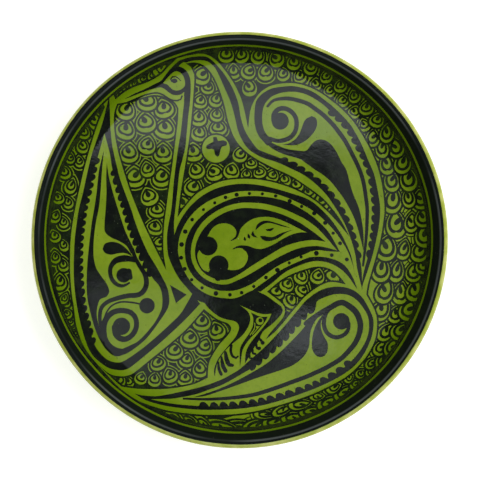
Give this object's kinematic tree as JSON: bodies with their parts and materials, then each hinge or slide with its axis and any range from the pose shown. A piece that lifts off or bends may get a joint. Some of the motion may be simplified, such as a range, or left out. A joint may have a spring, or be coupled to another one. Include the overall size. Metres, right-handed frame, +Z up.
{
  "type": "hand-painted ceramic plate",
  "caption": "Round coupe plate on a foot ring, green-glazed earthenware painted in black with a stylised bird, curling plumes and feather scales.",
  "frame": {"origin": "centre of the plate's box at the bottom, which is the centre of the foot ring on the surface it stands on", "axes": "+Z up along the plate's axis, +Y towards the top of the painting, above the bird's head, +X towards the right of the painting"},
  "size_m": [0.27, 0.27, 0.0478],
  "materials": {
    "clay": "bare fired buff earthenware, matt and slightly grainy",
    "green_glaze": "glossy transparent yellow-green glaze, mottled, with pinholes",
    "black_paint": "brushed black pigment under the glossy glaze, greener where the brush ran thin",
    "scale_paint": "fields of brushed black feather scales on the green glaze, glossy"
  },
  "bodies": {
    "root": {"clay_body": "clay", "foot_ring": "clay", "glaze_front": "green_glaze", "glaze_back": "green_glaze", "glaze_base": "green_glaze", "border_line": "black_paint", "rim_band": "black_paint", "bird_figure": "black_paint", "wing_panel": "black_paint", "wing_inner_band": "black_paint", "wing_outer_band": "black_paint", "wing_lower_band": "black_paint", "stem": "black_paint", "left_plume": "black_paint", "upper_plume": "black_paint", "lower_plume": "black_paint", "roundel_cross": "black_paint", "scales_left_rim": "scale_paint", "scales_nape": "scale_paint", "scales_breast": "scale_paint", "scales_right_rim": "scale_paint", "scales_tail": "scale_paint", "scales_legs": "scale_paint"}
  },
  "joints": []
}
